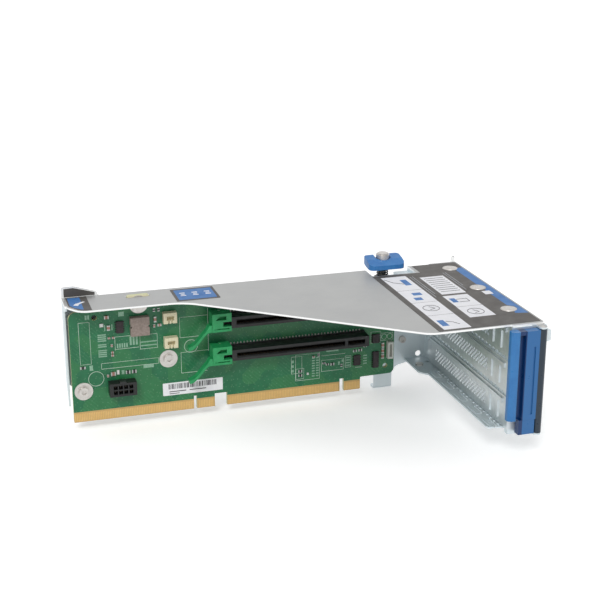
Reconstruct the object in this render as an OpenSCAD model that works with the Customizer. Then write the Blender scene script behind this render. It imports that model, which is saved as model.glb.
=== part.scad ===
// Riser cage for a rack server: a folded sheet cage that carries a riser board with two
// card slots, and a rear frame with three expansion slots closed by perforated covers.
// X runs along the board towards the rear frame, Y from the board's component side to the
// cage's back wall, Z up. The origin is the corner of the board's edge contacts.

/* [Riser board] */
// Length of the board past the card connectors
board_tail = 19.9; // [18:0.1:24]
// Height of the board's top edge over the tips of its edge contacts
board_top = 66.7; // [60:0.1:66.9]
// Thickness of the board
board_t = 2.4; // [1.6:0.1:3.2]
// Length of the edge that carries contacts
finger_len = 174.6; // [166:0.2:180]
// Height of the board's underside past the contacts
shoulder_z = 7.8; // [6.5:0.1:9]
// Height of the key notches in the contact edge
notch_h = 8.1; // [6:0.1:9]
// Height of one gold contact
contact_h = 5.2; // [3:0.1:5.8]
// Spacing of the gold contacts
contact_pitch = 1; // [0.8:0.1:2]
// Width of one gold contact
contact_w = 0.7; // [0.4:0.05:0.75]

/* [Cage sheet] */
// Thickness of the cage's folded sheet
sheet = 1; // [0.8:0.1:1.2]
// Outer radius of the sheet's folds
fold_r = 1.6; // [1.3:0.1:2.5]
// Height of the top panel's upper face over the contact tips
plate_top = 72.9; // [72.5:0.1:76]
// Gap from the board's component face to the back wall
wall_y = 9.5; // [9:0.1:12]
// Depth of the wide, rear part of the top panel in front of the board
wide_depth = 106; // [100:0.5:112]
// Depth of the narrow part of the top panel in front of the board
narrow_depth = 17.1; // [14:0.1:22]
// Where the panel's slanting edge leaves its narrow part
slant_x0 = 62.6; // [45:0.2:75]
// Distance from the slot wall to where the panel's slanting edge meets its wide part
slant_gap = 46.5; // [45:0.5:56]

/* [Rear frame] */
// Distance from the board's right edge to the slot wall
rear_gap = 24.6; // [22.6:0.1:25.1]
// Spacing of the expansion slots
slot_pitch = 20.32; // [20:0.01:20.4]
// Height of the lowest slot's centre line
slot_z = 22.1; // [21.6:0.05:22.1]
// Height of one slot opening
slot_gap = 12.06; // [10:0.1:13]
// Width of the ledge that takes the card brackets
ledge_w = 18.5; // [17.5:0.1:18.8]
// Width of the frame's lower flange
flange_w = 9; // [8.5:0.1:11]
// Diameter of the guide hole in the back wall
guide_d = 3.7; // [3:0.1:4.5]

/* [Slot covers] */
// Thickness of a slot cover
cover_t = 0.8; // [0.5:0.1:0.9]
// Height of a slot cover
cover_h = 18; // [17:0.1:18.2]
// Width across the flats of a vent hole
vent_d = 1.6; // [1:0.1:1.9]
// Spacing of the vent holes along a row
vent_pitch = 3.3; // [3.2:0.1:4]
// Spacing of the rows of vent holes
vent_row = 1.45; // [1.4:0.05:1.6]

/* [Card connectors] */
// Length of a connector housing
conn_len = 89; // [86:0.5:92]
// Where a connector's housing starts on the board
conn_x = 87.5; // [87:0.1:88]
// How far a connector stands off the board
conn_proud = 10; // [9.5:0.1:11]
// Thickness of a connector housing
conn_t = 6.6; // [6.4:0.1:7.4]
// Height of a connector over the centre of its expansion slot
conn_over_slot = 12.5; // [12:0.1:13]
// Gap that takes the edge of a card
card_gap = 1.9; // [1.7:0.1:2.2]

/* [Moving parts] */
// Distance of the half-turn latch from the board's right edge
latch_inset = 6.4; // [5.4:0.2:9.4]
// Diameter of the latch's pin
latch_d = 4.4; // [3:0.1:4.6]
// Radial running clearance of every hinge and turning pin
run_gap = 0.05; // [0.02:0.01:0.1]
// Diameter of the card retainer's hinge pin
hinge_d = 2.2; // [1.8:0.1:2.4]
// Diameter of a retention lever's pivot pin
pivot_d = 2; // [1.6:0.1:2.2]

/* [Hidden] */
$fn = 32;
eps = 0.01;

conn_end = conn_x + conn_len;
board_right = conn_end + board_tail;
rear_x = board_right + rear_gap;
latch_x = board_right - latch_inset;
slant_x1 = rear_x - slant_gap;
plate_z = plate_top - sheet;
back_y = wall_y + sheet;
slant_r = 14;
label_t = 0.15;
move_gap = 0.3;
colour_steel = [0.74, 0.76, 0.77];
colour_dark = [0.16, 0.17, 0.18];
colour_blue = [0.2, 0.48, 0.75];
colour_green = [0.16, 0.66, 0.42];
colour_board = [0.07, 0.36, 0.22];
colour_gold = [0.83, 0.66, 0.38];
colour_cream = [0.86, 0.82, 0.68];
colour_label = [0.3, 0.29, 0.28];

// ---- Outlines and sheets -------------------------------------------------------------

function unit(v) = v / norm(v);

// Arc that rounds corner b, between a and c, to radius r in n steps
function corner_arc(a, b, c, r, n) =
    r == 0 ? [[b.x, b.y]] :
    let (
        toward_a = unit([a.x - b.x, a.y - b.y]),
        toward_c = unit([c.x - b.x, c.y - b.y]),
        half = acos(toward_a * toward_c) / 2,
        centre = [b.x, b.y] + unit(toward_a + toward_c) * r / sin(half),
        first = [b.x, b.y] + toward_a * r / tan(half) - centre,
        last = [b.x, b.y] + toward_c * r / tan(half) - centre
    )
    [for (i = [0:n]) centre + unit(first * (n - i) + last * i) * r];

// Closed outline from corners given as [x, y, radius]
function outline(corners, n = 6) = [
    for (i = [0:len(corners) - 1])
        each corner_arc(
            corners[(i + len(corners) - 1) % len(corners)],
            corners[i],
            corners[(i + 1) % len(corners)],
            corners[i][2], n)
];

// Sheet lying flat, its outline in X-Y and its underside at z
module flat_sheet(z, t) translate([0, 0, z]) linear_extrude(t) children();

// Sheet that faces Y, its outline in X-Z and its near face at y
module sheet_y(y, t) translate([0, y + t, 0]) rotate([90, 0, 0]) linear_extrude(t) children();

// Sheet that faces X, its outline in Y-Z and its left face at x
module sheet_x(x, t) translate([x, 0, 0]) rotate([90, 0, 90]) linear_extrude(t) children();

// Sharp edge to cut from a fold, along Z from the origin, with the sheet in +X and +Y
module fold_edge(length)
    linear_extrude(length) difference() {
        translate([-eps, -eps]) square(fold_r + eps);
        translate([fold_r, fold_r]) circle(fold_r);
    }

// Block from its lowest to its highest corner
module block(low, high) translate(low) cube(high - low);

// Round bar along Z
module bar(x, y, z0, z1, d) translate([x, y, z0]) cylinder(h = z1 - z0, d = d);

// Round bar along Y
module bar_y(x, z, y0, y1, d) translate([x, y0, z]) rotate([-90, 0, 0]) cylinder(h = y1 - y0, d = d);

// ---- Places shared between parts -----------------------------------------------------

frame_low = slot_z - slot_pitch / 2 + 0.76;
slot_centres = [for (k = [0:2]) slot_z + k * slot_pitch];
conn_centres = [for (k = [0:1]) slot_z + conn_over_slot + k * slot_pitch];
near_y = -wide_depth;
ledge_y = near_y - sheet;
cover_face = ledge_y - cover_t;
frame_right = rear_x + ledge_w;
plate_x = frame_right + 0.2;

// Knob recess in the top panel's far edge, and the lowered shelf below it
recess_x0 = latch_x - 9.8;
recess_x1 = latch_x + 19;
recess_y = -4;
shelf_top = board_top + sheet + 0.6;
shelf_step_x = latch_x + 10;
shelf_step_z = (shelf_top + plate_top) / 2 - 0.6;
latch_y = (board_t + wall_y) / 2;

// Board fixings, as [x, z]
ear_x = 39.9;
ear_w = 12.4;
ear_top = plate_top + 0.8;
board_fixings = [[6.4, 18.9], [56.1, 33.4], [ear_x, ear_top - 5.4]];
board_hole = [board_right - 5.7, 13.5];
standoff_d = 6;
screw_d = 3;

// Tab of the back wall that reaches below the board
tab_x0 = board_right - 9.2;
tab_x1 = board_right + 2.6;
tab_low = -5.5;
tab_foot = 7;

// Corner where the cage and the rear frame are riveted together
gusset_x = rear_x - 13.6;
gusset_y = -16.8;
corner_rivet_x = rear_x - 8.6;
corner_rivet_y = -3.2;
rivet_ys = [-2.2, -42, -82];
rivet_x = rear_x + 9.8;

// ---- Cage ----------------------------------------------------------------------------

module top_panel() {
    flat_sheet(plate_z, sheet) difference() {
        polygon(outline([
            [-1, back_y, 0],
            [-1, -8, 5],
            [5, -narrow_depth, 9],
            [slant_x0, -narrow_depth, 24],
            [slant_x1, near_y, slant_r],
            [rear_x - 0.3, near_y, 0],
            [rear_x - 0.3, near_y - 1, 0],
            [plate_x, near_y - 1, 2],
            [plate_x, back_y, 1],
            [recess_x1, back_y, 1.5],
            [recess_x1, recess_y, 0],
            [recess_x0, recess_y, 1.5],
            [recess_x0, back_y, 1.5]
        ]));
        // Slot that the board's ear stands up through
        translate([ear_x - ear_w / 2 - 0.7, -0.9]) square([ear_w + 1.4, board_t + 1.6]);
    }
}

module back_wall() {
    low = 13;
    sheet_y(wall_y, sheet) difference() {
        polygon(outline([
            [-2, 21.3, 0],
            [-2, plate_top + 5.9, 1.5],
            [5, plate_top + 6.1, 2],
            [18, plate_top + 2, 1.5],
            [18.5, plate_top, 0],
            [recess_x0, plate_top, 0],
            [recess_x0, shelf_top - sheet, 0],
            [recess_x1, shelf_top - sheet, 0],
            [recess_x1, plate_top, 0],
            [rear_x + sheet, plate_top, 0],
            [rear_x + sheet, frame_low - 2 * sheet, 0],
            [rear_x - 9, frame_low - 2 * sheet, 2],
            [tab_x1, frame_low - 4.6, 6],
            [tab_x1, tab_low, 0],
            [tab_x0, tab_low, 0],
            [tab_x0, low, 2],
            [8, low, 6]
        ]));
        translate([rear_x - 4.5, frame_low + 2.4]) circle(d = guide_d);
        for (p = [[70, 50], [120, 50], [150, 24]]) translate(p) circle(d = 6);
    }
}

module end_wall()
    sheet_x(-2, sheet) polygon([
        [3.5, 9], [wall_y + sheet, 21.3], [wall_y + sheet, plate_top + 4], [wall_y, plate_top],
        [-6, plate_top], [-6, plate_top - 3], [3.5, plate_top - 6]
    ]);

// Lowered shelf that carries the half-turn latch, one strip with two steps
module latch_shelf()
    difference() {
        sheet_y(recess_y, back_y - recess_y) polygon([
            [recess_x0 + 0.8, shelf_top - sheet], [shelf_step_x, shelf_top - sheet],
            [shelf_step_x, shelf_step_z - sheet], [recess_x1, shelf_step_z - sheet],
            [recess_x1, plate_z], [recess_x1 + sheet, plate_z], [recess_x1 + sheet, plate_top - eps],
            [recess_x1 - sheet, plate_top - eps], [recess_x1 - sheet, shelf_step_z],
            [shelf_step_x - sheet, shelf_step_z], [shelf_step_x - sheet, shelf_top],
            [recess_x0 + 0.8, shelf_top]
        ]);
        bar(latch_x, latch_y, shelf_top - 2 * sheet, plate_top, latch_d + 2 * run_gap);
    }

module cage_sheet()
    color(colour_steel) difference() {
        union() {
            top_panel();
            back_wall();
            end_wall();
            latch_shelf();
            // Near wall of the latch recess
            sheet_y(recess_y - sheet, sheet) polygon([
                [recess_x0 + 0.8, shelf_top - sheet], [recess_x1, shelf_top - sheet],
                [recess_x1, plate_top - eps], [recess_x0 + 0.8, plate_top - eps]
            ]);
            // Foot of the lower tab, folded away from the board
            flat_sheet(tab_low, sheet) polygon(outline([
                [tab_x0, wall_y, 0], [tab_x1, wall_y, 0],
                [tab_x1, wall_y + tab_foot, 1.5], [tab_x0, wall_y + tab_foot, 1.5]
            ]));
            // Flange that the rear frame's corner sits on
            flat_sheet(frame_low - 2 * sheet, sheet) polygon(outline([
                [gusset_x + 1, wall_y + eps, 0], [gusset_x + 1, gusset_y + 5, 3],
                [gusset_x + 5, gusset_y, 2], [rear_x, gusset_y, 0], [rear_x, wall_y + eps, 0]
            ]));
        }
        // Rounded outside of the fold between the top panel and the back wall
        for (span = [[19, recess_x0], [recess_x1, rear_x + sheet]])
            translate([span[0], back_y, plate_top]) rotate([0, 90, 0]) rotate([0, 0, -90])
                fold_edge(span[1] - span[0]);
        // Rounded outside of the foot's fold
        translate([tab_x0 - eps, wall_y, tab_low]) rotate([90, 0, 90])
            fold_edge(tab_x1 - tab_x0 + 2 * eps);
        // Rivet holes under the rear frame
        for (y = rivet_ys) bar(rivet_x, y, plate_z - sheet, plate_top + sheet, 4);
        bar(corner_rivet_x, corner_rivet_y, frame_low - 3 * sheet, frame_low, 3);
        for (p = board_fixings) bar_y(p[0], p[1], wall_y - 1, back_y + 1, screw_d);
    }

// ---- Rear frame ----------------------------------------------------------------------

gasket_pitch = 4.5;
gasket_d = 1.7;
gasket_count = 21;
ledge_low = frame_low - 3;
tongue_y = 2.2;
bracket_screw_x = 8.6;
cover_notch = 4.4;

// Row of round gasket holes along the wall at height z
module gasket_row(z)
    for (i = [0:gasket_count - 1]) translate([-9 - i * gasket_pitch, z]) circle(d = gasket_d, $fn = 8);

module frame_wall()
    sheet_x(rear_x, sheet) difference() {
        polygon([
            [wall_y, frame_low - sheet], [wall_y, plate_z], [ledge_y, plate_z],
            [ledge_y, ledge_low], [ledge_y + 3, ledge_low], [ledge_y + 3.5, frame_low - sheet]
        ]);
        for (c = slot_centres) {
            // Opening for the card's sockets
            translate([near_y + 5.2, c - slot_gap / 2]) square([92, slot_gap]);
            // Slit for the bracket's tongue
            translate([tongue_y - 1.1, c - 4]) square([2, 9]);
        }
        for (k = [1:2]) gasket_row(slot_z + (k - 0.5) * slot_pitch);
    }

finger_l = 14;
finger_w = 4.6;
slit_w = 0.7;

// Spring finger lanced from the lower flange: a U-shaped slit round a long tongue
module spring_slit()
    difference() {
        long_slot(finger_l, finger_w);
        long_slot(finger_l - 2 * slit_w, finger_w - 2 * slit_w);
        // Root that joins the finger to the flange
        translate([finger_l / 2 - finger_w / 2, -finger_w]) square([finger_w, 2 * finger_w]);
    }

// Long slot with round ends, centred on the origin along X
module long_slot(length, width) {
    square([length - width, width], center = true);
    for (side = [-1, 1]) translate([side * (length - width) / 2, 0]) circle(d = width, $fn = 20);
}

module lower_flange()
    flat_sheet(frame_low - sheet, sheet) difference() {
        polygon(outline([
            [rear_x + eps, wall_y, 0], [gusset_x, wall_y, 0], [gusset_x, gusset_y + 3, 3],
            [gusset_x + 3, gusset_y - 1, 0], [rear_x - flange_w, gusset_y - 1, 0],
            [rear_x - flange_w, near_y + 4.4, 3], [rear_x + eps, near_y + 3.5, 0]
        ]));
        for (i = [0:4]) translate([rear_x - 5.3, -20 - i * 18.8]) rotate(90) spring_slit();
        translate([corner_rivet_x, corner_rivet_y]) circle(d = 3);
        translate([rear_x - 2.2, 0.4]) circle(d = 3);
        // Gasket holes beside the fold
        rotate(90) gasket_row(gasket_d / 2 + 0.8 - rear_x);
    }

// Ledge that the bracket tabs lie on, with one screw hole for each slot
module ledge()
    sheet_y(ledge_y, sheet) difference() {
        polygon(outline([
            [rear_x, plate_z, 0], [frame_right + 2, plate_z, 2], [frame_right + 2, 69, 0],
            [frame_right + 4.4, 68, 0.5], [frame_right + 4.4, 62, 0.5], [frame_right + 2, 61.5, 0],
            [frame_right + 2, 57, 1], [frame_right + 0.6, 54, 1], [frame_right + 0.6, 22, 1],
            [frame_right + 1.6, 20, 1], [frame_right + 1.6, 13, 2], [frame_right - 1, ledge_low, 2],
            [rear_x, ledge_low, 0]
        ], 4));
        for (c = slot_centres) translate([rear_x + bracket_screw_x, c]) circle(d = 3.2);
    }

hinge_x = frame_right - 2.6;
hinge_y = cover_face - 2.7;
ear_r = 2.3;

// Ear that holds one end of the retainer's hinge pin
module hinge_ear(z)
    flat_sheet(z, sheet) difference() {
        union() {
            translate([hinge_x, hinge_y]) circle(ear_r);
            translate([hinge_x - ear_r, hinge_y]) square([2 * ear_r, ledge_y - hinge_y + sheet]);
        }
        translate([hinge_x, hinge_y]) circle(d = hinge_d);
    }

module slot_frame()
    color(colour_steel * 0.96) difference() {
        union() {
            frame_wall();
            lower_flange();
            ledge();
            // Upper flange, riveted under the top panel
            flat_sheet(plate_z - sheet, sheet) difference() {
                polygon([
                    [rear_x, wall_y], [frame_right, wall_y], [frame_right, ledge_y], [rear_x, ledge_y]
                ]);
                for (y = rivet_ys) translate([rivet_x, y]) circle(d = 4);
            }
            // Upturned lug at the far end of the upper flange
            sheet_x(frame_right - sheet, sheet) polygon([
                [wall_y - 2, plate_z - sheet], [wall_y + 5, plate_z - sheet],
                [wall_y + 5, plate_top + 1.5], [wall_y + 3.5, plate_top + 3],
                [wall_y + 1.2, plate_top + 3], [wall_y + 1.2, plate_z], [wall_y - 2, plate_z]
            ]);
            hinge_ear(plate_z - sheet);
            hinge_ear(ledge_low);
        }
        // Rounded outside of the fold between wall and lower flange
        translate([rear_x + sheet, near_y + 3.5, frame_low - sheet])
            rotate([-90, 0, 0]) rotate([0, 0, 180]) mirror([0, 1, 0]) fold_edge(wall_y - near_y);
    }

// ---- Slot covers ---------------------------------------------------------------------

vent_rows = 5;
vent_columns = 22;
vent_y = -10.4;
tab_len = 12;
// Raised forms of a cover: heights above its centre, and places along it
bead_low = 4.6;
bead_high = 7.2;
bead_proud = 0.9;
upright_proud = 0.7;
upright_low = -6;
uprights = [[-86.8, -84.6], [-96.6, -93.2]];

// Staggered field of six-sided vent holes, in Y-Z about the slot's centre
module vent_field()
    for (row = [0:vent_rows - 1], i = [0:vent_columns - 1 - row % 2])
        translate([vent_y - (i + (row % 2) / 2) * vent_pitch, -4.1 + row * vent_row])
            circle(r = vent_d / sqrt(3), $fn = 6);

module slot_cover(k) {
    c = slot_centres[k];
    color(colour_steel * 1.03) {
        sheet_x(rear_x - cover_t, cover_t) translate([0, c]) difference() {
            polygon([
                [0.2, -cover_h / 2], [0.2, -3.4], [tongue_y + 0.6, -3.4], [tongue_y + 0.6, 4.4],
                [0.2, 4.4], [0.2, cover_h / 2], [cover_face, cover_h / 2], [cover_face, -cover_h / 2]
            ]);
            vent_field();
        }
        // Stiffening bead above the vent field and two uprights beside it
        block([rear_x - cover_t - bead_proud, near_y + 4, c + bead_low],
            [rear_x - cover_t + eps, -1.5, c + bead_high]);
        for (span = uprights)
            block([rear_x - cover_t - upright_proud, span[0], c + upright_low],
                [rear_x - cover_t + eps, span[1], c + bead_low]);
        // Tongue through the frame's slit
        block([rear_x - eps, tongue_y - 0.6, c - 3.4], [rear_x + sheet + 2, tongue_y + 0.2, c + 4.4]);
        // Tab on the ledge, notched for the retaining screw
        sheet_y(cover_face, cover_t) difference() {
            polygon(outline([
                [rear_x - cover_t, c - cover_h / 2, 0], [rear_x + tab_len, c - cover_h / 2, 1.5],
                [rear_x + tab_len, c + cover_h / 2, 1.5], [rear_x - cover_t, c + cover_h / 2, 0]
            ]));
            translate([rear_x + bracket_screw_x, c]) {
                circle(d = cover_notch);
                translate([0, -cover_notch / 2]) square([tab_len / 2, cover_notch]);
            }
        }
    }
}

// ---- Rivets and studs ----------------------------------------------------------------

// Flat-headed rivet down through two sheets from the face at z
module rivet(x, y, z, head_d, shank_d) {
    bar(x, y, z, z + 0.8, head_d);
    bar(x, y, z - 2 * sheet, z + eps, shank_d);
    bar(x, y, z - 2 * sheet - 0.8, z - 2 * sheet + eps, shank_d + 2);
}

module frame_rivets() color(colour_steel) for (y = rivet_ys) rivet(rivet_x, y, plate_top, 9, 4);

module corner_rivets() color(colour_steel) rivet(corner_rivet_x, corner_rivet_y, frame_low, 5, 3);

// Clinch stud on the back wall, facing the board side
module wall_stud()
    color(colour_steel) difference() {
        bar_y(rear_x - 15.6, 25.8, wall_y - 1.6, wall_y, 4.4);
        bar_y(rear_x - 15.6, 25.8, wall_y - 2, wall_y - 0.6, 2.2);
    }

// ---- Riser board ---------------------------------------------------------------------

// Notches in the contact edge, as [centre, width]
notches = [[71.4, 1.8], [86.9, 7.5], [162.7, 2.7]];
clear_of_notch = 0.35;

// True where a contact centred at x would run into a notch
function in_notch(x) =
    len([for (n = notches) if (abs(x - n[0]) < n[1] / 2 + contact_w / 2 + clear_of_notch) 1]) > 0;

module riser_board()
    color(colour_board) sheet_y(0, board_t) difference() {
        polygon(outline([
            [0, 0, 0.4], [finger_len, 0, 0.4], [finger_len, shoulder_z, 0.6],
            [board_right - 2, shoulder_z + 0.3, 2], [board_right, shoulder_z + 2.2, 1],
            [board_right, board_top, 1.5],
            [ear_x + ear_w / 2, board_top, 0], [ear_x + ear_w / 2, ear_top, 1],
            [ear_x - ear_w / 2, ear_top, 1], [ear_x - ear_w / 2, board_top, 0], [0, board_top, 4]
        ], 4));
        for (n = notches) translate([n[0] - n[1] / 2, -1]) square([n[1], notch_h + 1]);
        for (p = board_fixings) translate(p) circle(d = screw_d);
        translate(board_hole) circle(d = 3);
        translate([14.5, 62.6]) circle(d = 3.2);
    }

module edge_contacts()
    color(colour_gold) for (x = [0.8:contact_pitch:finger_len - 0.6], y = [-0.08, board_t])
        if (!in_notch(x)) translate([x - contact_w / 2, y, 0.5]) cube([contact_w, 0.08, contact_h - 0.5]);

washer_d = 10.6;
washer_t = 0.5;

module board_washers()
    color(colour_steel) for (p = board_fixings)
        difference() {
            bar_y(p[0], p[1], -washer_t, 0, washer_d);
            bar_y(p[0], p[1], -washer_t - 1, 1, screw_d);
        }

// Pan head screw with a star recess, its shank through the board into the standoff
module board_screws()
    color(colour_steel) for (p = board_fixings)
        difference() {
            union() {
                bar_y(p[0], p[1], -washer_t - 2.1, -washer_t, 5.8);
                bar_y(p[0], p[1], -washer_t - eps, board_t + 4, screw_d);
            }
            translate([p[0], -washer_t - 1, p[1]]) rotate([90, 0, 0]) cylinder(h = 2, d = 2.8, $fn = 6);
        }

module board_standoffs()
    color(colour_steel) for (p = board_fixings)
        difference() {
            union() {
                bar_y(p[0], p[1], board_t, wall_y, standoff_d);
                bar_y(p[0], p[1], wall_y - eps, back_y, screw_d);
            }
            bar_y(p[0], p[1], board_t - 1, board_t + 4, screw_d);
        }

// ---- Card connectors -----------------------------------------------------------------

lever_reach = 4.2;
tongue_t = 3;
housing_x = conn_x + lever_reach;
pivot_x = conn_x - 1.8;
pivot_y = -4.4;
key_x = conn_len - 14.4;
key_w = 1.8;
pocket_x0 = lever_reach + 3;
pocket_end = conn_len - 2.6;
// The card gap's two pockets, parted by the key, as distances along the housing
pockets = [[pocket_x0, key_x - key_w / 2], [key_x + key_w / 2, pocket_end]];
foot_h = 0.5;

module slot_connector(k) {
    c = conn_centres[k];
    color(colour_dark) difference() {
        union() {
            block([housing_x, -conn_proud, c - conn_t / 2], [conn_end, 0, c + conn_t / 2]);
            // Standing foot along the board
            block([housing_x, -1.6, c - conn_t / 2 - foot_h], [conn_end, 0, c + conn_t / 2 + foot_h]);
            // Tongue that carries the retention lever
            block([pivot_x - 2, pivot_y - 2.2, c - tongue_t / 2], [housing_x + 1, 0, c + tongue_t / 2]);
        }
        // Gap for the card edge, in two pockets parted by the key
        for (span = pockets)
            block([conn_x + span[0], -conn_proud - 1, c - card_gap / 2],
                [conn_x + span[1], -2, c + card_gap / 2]);
        // Lead-in along the gap
        for (span = pockets, side = [-1, 1])
            translate([conn_x + span[0], -conn_proud, c + side * card_gap / 2]) rotate([0, 90, 0])
                linear_extrude(span[1] - span[0]) circle(r = 0.7, $fn = 4);
        bar(pivot_x, pivot_y, c - conn_t, c + conn_t, pivot_d);
    }
}

// Spring contacts of both connectors, as one comb for each side of each gap
module slot_contacts()
    color(colour_gold) for (c = conn_centres, side = [-1, 1], span = pockets) {
        z = c + side * (card_gap / 2 - 0.15);
        block([conn_x + span[0] + 0.4, -2.6, z - 0.15], [conn_x + span[1] - 0.4, -2, z + 0.15]);
        for (x = [span[0] + 0.8:2:span[1] - 0.9])
            block([conn_x + x, -conn_proud + 1.4, z - 0.15], [conn_x + x + 0.9, -2.5, z + 0.15]);
    }

tail_pitch = 2;
tail_w = 0.8;
tail_t = 0.5;
tail_len = 0.9;

// Solder tails along the upper side of each connector
module solder_tails()
    color(colour_steel)
        for (c = conn_centres, x = [housing_x - 0.6:tail_pitch:conn_end - 2.4])
            block([x, -tail_t, c + conn_t / 2 + foot_h], [x + tail_w, 0, c + conn_t / 2 + foot_h + tail_len]);

module lever_pins()
    color(colour_steel) for (c = conn_centres) bar(pivot_x, pivot_y, c - 4.2, c + 6.2, pivot_d);

// ---- Retention levers ----------------------------------------------------------------

lever_low = 4.4;
lever_high = 6.5;
lever_x0 = conn_x - 7.4;
lever_front = -11.4;
lever_back = -2.3;
arm_t = 2;
arm_steps = 14;

// S-shaped centre line of the arm: how far it has dropped after share s of its length
function arm_drop(s) = 9.6 * (s < 0.3 ? 0 : pow(sin((s - 0.3) / 0.7 * 90), 1.4));

arm_x0 = lever_x0 + 3;
arm_len = 17;
arm_depth = 4.6;

module lever_arm(c)
    sheet_y(lever_front + 0.4, arm_depth) polygon([
        for (i = [0:arm_steps])
            let (s = i / arm_steps) [arm_x0 - s * arm_len, c - lever_low + arm_t - arm_drop(s)],
        for (i = [arm_steps:-1:0])
            let (s = i / arm_steps) [arm_x0 - s * arm_len, c - lever_low - 0.2 * s - arm_drop(s)]
    ]);

module retention_lever(k) {
    c = conn_centres[k];
    right = housing_x - move_gap;
    color(colour_green) {
        difference() {
            block([lever_x0, lever_front, c - lever_low], [right, lever_back, c + lever_high]);
            // Space for the connector's tongue
            block([pivot_x - 2.8, pivot_y - 3.2, c - tongue_t / 2 - move_gap],
                [right + 1, 1, c + tongue_t / 2 + move_gap]);
            // Mouth that closes over the card's hook
            block([pivot_x + 0.8, lever_front - 1, c - 1.4], [right + 1, pivot_y, c + 1.4]);
            // Hollow in the upper cheek, seen from the front
            translate([0, lever_front - 1, 0]) sheet_y(0, 4) polygon([
                [lever_x0 + 2, c + 2.6], [right - 3, c + 2.6], [right - 3, c + 4.9], [lever_x0 + 4.4, c + 4.9]
            ]);
            // Groove that parts the lower cheek into two ribs
            block([lever_x0 + 1, lever_front - 1, c - 3.1], [right - 1.2, lever_front + 0.9, c - 2.4]);
            bar(pivot_x, pivot_y, c - 20, c + 20, pivot_d + 2 * run_gap);
            // Relief so that the heel clears the board as the lever turns
            translate([lever_x0 - 1, lever_back + 0.4, c - 10]) rotate([0, 0, -20])
                cube([6, 5, 20]);
        }
        lever_arm(c);
        // Thumb stop on the arm
        sheet_y(lever_front + 0.4, arm_depth) polygon([
            [arm_x0 - 6.4, c - lever_low + 1.2], [arm_x0 - 4.6, c - lever_low + 4.2],
            [arm_x0 - 3.2, c - lever_low + 4.2], [arm_x0 - 3, c - lever_low + 1.2]
        ]);
    }
}

// ---- Smaller parts on the board ------------------------------------------------------

header_x = 20.5;
header_z = 15.7;
header_w = 15.6;
header_h = 8;
header_proud = 6.5;
header_pitch = 3;
header_well = 2.3;
header_floor = 1.2;
header_pin = 0.6;
// Centres of the header's eight wells, as [x, z]
header_wells = [for (i = [0:3], j = [0:1])
    [header_x + header_w / 2 + (i - 1.5) * header_pitch, header_z + header_h / 2 + (j - 0.5) * header_pitch]];

// Square post along Y, centred on [x, z]
module post_y(centre, width, y0, y1)
    block([centre[0] - width / 2, y0, centre[1] - width / 2],
        [centre[0] + width / 2, y1, centre[1] + width / 2]);

module power_header()
    color(colour_dark) difference() {
        union() {
            block([header_x, -header_proud, header_z], [header_x + header_w, 0, header_z + header_h]);
            // Catch for the plug's latch
            block([header_x + 6, -header_proud, header_z + header_h - eps],
                [header_x + 9.6, -2, header_z + header_h + 1]);
        }
        for (well = header_wells) post_y(well, header_well, -header_proud - 1, -header_floor);
    }

module header_pins()
    color(colour_gold)
        for (well = header_wells) post_y(well, header_pin, -header_proud + 1.6, -header_floor);

// Two-way socket with a slot across its face
module fan_socket(x, z)
    color(colour_cream) difference() {
        block([x, -4, z], [x + 7.8, 0, z + 6.4]);
        block([x + 1.8, -5, z + 2], [x + 6, -1, z + 4.4]);
        block([x + 2.6, -5, z - 1], [x + 3.4, -2.4, z + 3]);
        block([x + 4.4, -5, z - 1], [x + 5.2, -2.4, z + 3]);
    }

chip_lift = 0.1;
leg_len = 0.8;
leg_w = 0.4;

// Chip package with a row of legs on its left and right
module chip(x, z, w, h, t, legs) {
    color(colour_dark) block([x, -t - chip_lift, z], [x + w, -chip_lift, z + h]);
    color(colour_steel) for (i = [0:1:legs - 1], side = [0, 1])
        block([x + side * w - (1 - side) * leg_len, -0.5, z + (i + 0.5) * h / legs - leg_w / 2],
            [x + side * (w + leg_len), 0, z + (i + 0.5) * h / legs + leg_w / 2]);
}

inductor_x = 34.4;
inductor_z = 50.4;
inductor_w = 10.8;
inductor_t = 4;

module power_inductor()
    color([0.47, 0.44, 0.4]) difference() {
        block([inductor_x, -inductor_t, inductor_z],
            [inductor_x + inductor_w, 0, inductor_z + inductor_w + 0.2]);
        for (x = [inductor_x, inductor_x + inductor_w])
            bar_y(x, inductor_z + inductor_w / 2 + 0.1, -inductor_t - 1, 1, 1.6);
    }

// White board-edge socket at the right end
module edge_socket()
    color([0.85, 0.86, 0.85]) translate([board_right - 5, 0, 18.8]) difference() {
        block([0, -3.4, 0], [3.4, 0, 10.6]);
        block([0.9, -4, 1.2], [2.5, -0.8, 9.4]);
    }

// ---- Half-turn latch -----------------------------------------------------------------

knob_w = 22.4;
knob_near = 9.6;
knob_far = 3.6;
knob_low = plate_top + 3.2;
seat_z = knob_low + 5;
hub_low = knob_low - 0.6;
head_d = 8.2;
pin_foot_z = shelf_top - 9;
cam_reach = 3;
cam_w = 2.2;
cam_h = 3;

// Blue thumb knob: a sloping wing with a raised ear on each side of the pin's head
module latch_knob()
    color(colour_blue) translate([latch_x, latch_y, 0]) difference() {
        union() {
            knob_wing();
            // Hub that the spring pushes against
            translate([0, 0, hub_low]) cylinder(h = 3, d = 6.8);
        }
        // Seat for the pin's head, open to the far side
        translate([0, 0, seat_z - 0.6]) cylinder(h = 9, d = head_d + 1.4);
        translate([-head_d / 2 - 0.7, 0, seat_z - 0.6]) cube([head_d + 1.4, 20, 9]);
        cylinder(h = 150, d = latch_d);
    }

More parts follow.
